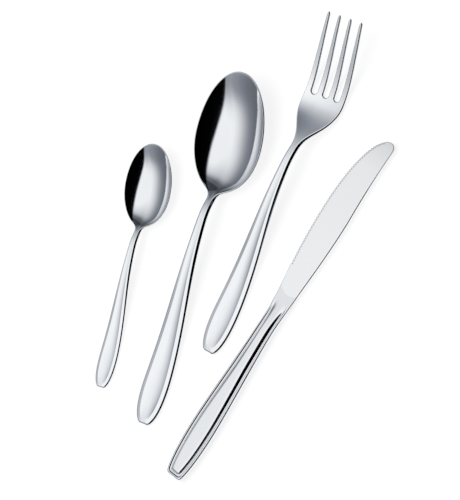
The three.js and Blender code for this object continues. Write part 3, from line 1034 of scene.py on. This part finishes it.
def knife_finish(name, colours, s, start, turn):
    """Polished handle and satin-ground blade, which meet in a shallow curve at the heel."""
    material = bpy.data.materials.new(name)
    n = Nodes(material)
    n.lie(start, turn)
    axes = n.parts(n.axes)
    bend = n.math("MULTIPLY", n.math("MULTIPLY", axes["X"], axes["X"]), 60)
    along = n.math("SUBTRACT", axes["Y"], bend)
    blade = n.range(along, (s.heel_at - 2.2) * MM, (s.heel_at - 1.4) * MM, 0, 1, "SMOOTHSTEP")
    haze, lines, grind = n.noise(*HAZE), n.noise(*LINES), n.noise(*GRIND)

    # Painted shade: the blade's tone is darkened along its length, and more so at the tip, standing in for its darker
    # reflection there. The blade's lighter tone over the handle's steel is painted light.
    painted_tip_shade = n.range(axes["Y"], s.heel_at * MM, (s.length - 14) * MM, 1.0, 0.93)
    painted_tip_shade = n.math("MULTIPLY", painted_tip_shade, n.range(axes["Y"], (s.length - 18) * MM, s.length * MM, 1.0, 0.87))
    tone = n.colours(1.0, n.colours(blade, (*colours.steel, 1), (*colours.blade, 1)), painted_tip_shade, "MULTIPLY")

    # Only the flat of the blade is ground: its edges are polished.
    facing = n.parts(n.add("ShaderNodeNewGeometry").outputs["Normal"])
    flat = n.range(n.math("ABSOLUTE", facing["Z"]), 0.95, 0.985, 0.35, 1.0)
    satin = n.math("MULTIPLY", n.range(grind, 0.25, 0.75, colours.satin - 0.03, colours.satin + 0.04), flat)
    polished = n.range(haze, 0.3, 0.7, colours.polish + 0.03, colours.polish + 0.06)
    marks = n.numbers(blade, lines, n.math("MULTIPLY", grind, 3.0))
    n.steel(tone, n.numbers(blade, polished, satin), marks, 0.04)
    return material


# Stage

# The studio as the steel sees it: levels over the angle in degrees to the right of overhead, or behind it. A soft box
# hangs overhead and to the left, and a black flag stands on the right and leans over in front of it.
BOX_ACROSS = (
    (-80, 0.02), (-65, 0.12), (-55, 0.28), (-45, 0.52), (-37, 0.74), (-28, 0.93), (-16, 0.99), (0, 1),
)
BOX_ALONG = (
    (-60, 0.02), (-55, 0.08), (-50, 0.28), (-44, 0.52), (-37, 0.68), (-28, 0.77), (-13, 0.81), (-6, 0.77),
    (2, 0.72), (10, 0.65), (16, 0.57), (24, 0.44), (31, 0.3), (38, 0.13), (46, 0.03),
)
FLAG = ((-90, 1), (16, 1), (21, 0), (80, 0), (90, 0.3))
FLAG_END = ((-66, 1), (-60, 0))
ROOM_ALONG = (
    (-60, 0.26), (-20, 0.24), (10, 0.26), (30, 0.22), (38, 0.16), (46, 0.09), (53, 0.1), (58, 0.02), (80, 0.02),
)
ROOM_ACROSS = ((-90, 0.4), (-65, 0.47), (-45, 0.67), (-15, 0.67), (8, 1))
# Two low lights on the right, behind and in front, each by its levels along and across.
LOW_BEHIND = (((14, 0), (26, 0.36)), ((51, 0), (60, 1)))
LOW_FRONT = (((-28, 1), (-19, 0)), ((62, 0), (72, 0.33)))
STUDIO_TONES = ((0, (0, 0, 0)), (0.25, (0.23, 0.25, 0.285)), (1, (0.985, 0.993, 1)))
STUDIO_TURN = math.radians(12)

# The photograph: direction to its camera, 30 degrees off the vertical, its upward direction, its scale in pixels for a
# millimetre, its width and height, and where the middle of the set lies in it.
VIEW_BACK = (0.489, -0.104, 0.866)
VIEW_UP = (0.02725, 0.9941, 0.104)
PIXELS = 1.85
PICTURE = (460, 500)
SET_MIDDLE = (246.2, 248.9)
LENS, SENSOR = 1000.0, 36.0


def floor_finish(colours):
    """A white table that shows plainly to the eye and in the steel, and keeps a soft shadow."""
    material = bpy.data.materials.new("white_table")
    n = Nodes(material)
    matt = n.add("ShaderNodeBsdfDiffuse", {"Color": (*colours.floor, 1)}).outputs["BSDF"]
    glow = n.add("ShaderNodeEmission", {"Strength": 1.0}).outputs["Emission"]
    seen = n.add("ShaderNodeLightPath").outputs
    shown = n.math("MAXIMUM", seen["Is Camera Ray"], seen["Is Glossy Ray"])
    shown = n.math("MAXIMUM", shown, seen["Is Transmission Ray"])
    blend = n.add("ShaderNodeMixShader", {0: n.math("MULTIPLY", shown, 0.85), 1: matt, 2: glow})
    n.add("ShaderNodeOutputMaterial", {"Surface": blend.outputs["Shader"]})
    return material


def lay_table(scene):
    """The white table, a hair below the pieces."""
    mesh = bpy.data.meshes.new("white_table")
    wide = 30.0
    corners = [(-wide, -wide, 0), (wide, -wide, 0), (wide, wide, 0), (-wide, wide, 0)]
    mesh.from_pydata(corners, [], [(0, 1, 2, 3)])
    mesh.materials.append(floor_finish(scene.cutlery_colours))
    floor = bpy.data.objects.new("white_table", mesh)
    floor.location.z = -0.02 * MM
    scene.collection.objects.link(floor)


def set_camera(scene):
    """The photograph's view."""
    back = Vector(VIEW_BACK).normalized()
    up = Vector(VIEW_UP)
    up = (up - back * back.dot(up)).normalized()
    right = up.cross(back)
    (wide, tall), (x, y) = PICTURE, SET_MIDDLE
    aim = right * ((wide / 2 - x) / PIXELS) + up * ((y - tall / 2) / PIXELS)
    far = tall / PIXELS * LENS / SENSOR
    data = bpy.data.cameras.new("camera")
    data.lens = LENS
    data.sensor_width = SENSOR
    data.clip_end = 100.0
    camera = bpy.data.objects.new("camera", data)
    turn = Matrix((right, up, back)).transposed().to_4x4()
    camera.matrix_world = Matrix.Translation((aim + back * far) * MM) @ turn
    scene.collection.objects.link(camera)
    scene.camera = camera


def light_studio(scene):
    """The studio all round, which the steel mirrors, and a soft lamp for the table."""
    scene.world = bpy.data.worlds.new("studio")
    n = Nodes(scene.world)
    where = n.add("ShaderNodeTexCoord").outputs["Generated"]
    swung = n.add("ShaderNodeMapping", {"Vector": where, "Rotation": (0, 0, STUDIO_TURN)})
    axes = n.parts(swung.outputs["Vector"])
    side = n.math("DIVIDE", n.math("ARCTAN2", axes["X"], axes["Z"]), math.pi)
    fore = n.math("DIVIDE", n.math("ARCSINE", axes["Y"]), math.pi)

    def levels(angle, stops):
        grey = [(0.5 + degrees / 180, (level,) * 3) for degrees, level in stops]
        return n.ramp(n.math("ADD", angle, 0.5), grey)

    # Angles here are in half turns. Past 25 degrees to the left the soft box lies further forward.
    outward = n.math("MAXIMUM", n.math("SUBTRACT", -0.139, side), 0)
    along = n.math("SUBTRACT", fore, n.math("MULTIPLY", outward, 0.39))
    box = n.math("MULTIPLY", levels(side, BOX_ACROSS), levels(along, BOX_ALONG))
    room = n.math("MULTIPLY", levels(fore, ROOM_ALONG), n.math("MULTIPLY", levels(side, ROOM_ACROSS), 1.5))

    # The flag leans further to the left the more it lies in front of 10 degrees behind overhead.
    past = n.math("MAXIMUM", n.math("SUBTRACT", 0.056, fore), 0)
    leaning = n.math("ADD", side, n.math("MULTIPLY", n.math("MULTIPLY", past, past), 1.05))
    open_side = n.math("MAXIMUM", levels(leaning, FLAG), levels(fore, FLAG_END))
    level = n.math("MULTIPLY", n.math("ADD", box, room), open_side)
    for low_along, low_across in (LOW_BEHIND, LOW_FRONT):
        low = n.math("MULTIPLY", levels(fore, low_along), levels(side, low_across))
        level = n.math("MAXIMUM", level, low)
    sky = n.add("ShaderNodeBackground", {"Color": n.ramp(level, STUDIO_TONES), "Strength": 1.0})
    n.add("ShaderNodeOutputWorld", {"Surface": sky.outputs["Background"]})

    lamp = bpy.data.lights.new("table_light", "AREA")
    lamp.shape = "DISK"
    lamp.size = 1.6
    lamp.energy = 30.0
    light = bpy.data.objects.new("table_light", lamp)
    light.location = (-0.3, 0.2, 1.6)
    light.rotation_euler = (-light.location).to_track_quat("-Z", "Y").to_euler()
    light.visible_glossy = False
    scene.collection.objects.link(light)


# Operators


class CUTLERY_OT_spoons(bpy.types.Operator):
    """Press the table spoon and the teaspoon and lay them on the table"""

    bl_idname = "cutlery.spoons"
    bl_label = "Spoons"

    def execute(self, context):
        scene, colours = context.scene, context.scene.cutlery_colours
        for node, sizes in (("table_spoon", scene.cutlery_table_spoon), ("teaspoon", scene.cutlery_teaspoon)):
            s = in_millimetres(sizes)
            finish = partial(
                steel_finish, node + "_steel", (colours.handle, colours.steel), (colours.polish, colours.polish),
                (0.8 * s.neck_at, s.neck_at),
            )
            place(spoon_mesh("polished_" + node, s), node, s.turn, finish)
        return {"FINISHED"}


class CUTLERY_OT_fork(bpy.types.Operator):
    """Press the table fork and lay it on the table"""

    bl_idname = "cutlery.fork"
    bl_label = "Fork"

    def execute(self, context):
        s = in_millimetres(context.scene.cutlery_fork)
        colours = context.scene.cutlery_colours
        finish = partial(
            steel_finish, "fork_steel", (colours.handle, colours.fork), (colours.polish, colours.brushed),
            (s.palm_at - 6, s.palm_at + 12),
        )
        place(fork_mesh("polished_table_fork", s), "table_fork", s.turn, finish)
        return {"FINISHED"}


class CUTLERY_OT_knife(bpy.types.Operator):
    """Forge the table knife and lay it on the table"""

    bl_idname = "cutlery.knife"
    bl_label = "Knife"

    def execute(self, context):
        s = in_millimetres(context.scene.cutlery_knife)
        finish = partial(knife_finish, "knife_steel", context.scene.cutlery_colours, s)
        place(knife_mesh("polished_table_knife", s), "table_knife", s.turn, finish)
        return {"FINISHED"}


class CUTLERY_OT_stage(bpy.types.Operator):
    """Set the white table, the studio light and the camera"""

    bl_idname = "cutlery.stage"
    bl_label = "Stage"

    def execute(self, context):
        scene = context.scene
        scene.view_settings.view_transform = "Standard"
        lay_table(scene)
        set_camera(scene)
        light_studio(scene)
        return {"FINISHED"}


class CUTLERY_PT_set(bpy.types.Panel):
    """Sizes, colours and builders of the cutlery set"""

    bl_idname = "CUTLERY_PT_set"
    bl_label = "Table cutlery"
    bl_space_type = "VIEW_3D"
    bl_region_type = "UI"
    bl_category = "Cutlery"

    def draw(self, context):
        for operator in OPERATORS:
            self.layout.operator(operator.bl_idname)
        for key in GROUPS:
            group = getattr(context.scene, "cutlery_" + key)
            box = self.layout.box()
            box.label(text=group.bl_rna.name)
            for name in group.__annotations__:
                box.prop(group, name)


GROUPS = {
    "table_spoon": TableSpoonSizes,
    "teaspoon": TeaspoonSizes,
    "fork": ForkSizes,
    "knife": KnifeSizes,
    "colours": FinishColours,
}
OPERATORS = (CUTLERY_OT_stage, CUTLERY_OT_spoons, CUTLERY_OT_fork, CUTLERY_OT_knife)
CLASSES = (*GROUPS.values(), *OPERATORS, CUTLERY_PT_set)


def register():
    for cls in CLASSES:
        bpy.utils.register_class(cls)
    for key, cls in GROUPS.items():
        setattr(bpy.types.Scene, "cutlery_" + key, bpy.props.PointerProperty(type=cls))


def unregister():
    for key in GROUPS:
        delattr(bpy.types.Scene, "cutlery_" + key)
    for cls in reversed(CLASSES):
        bpy.utils.unregister_class(cls)


def main():
    register()
    bpy.ops.cutlery.stage()
    bpy.ops.cutlery.spoons()
    bpy.ops.cutlery.fork()
    bpy.ops.cutlery.knife()


if __name__ == "__main__":
    main()
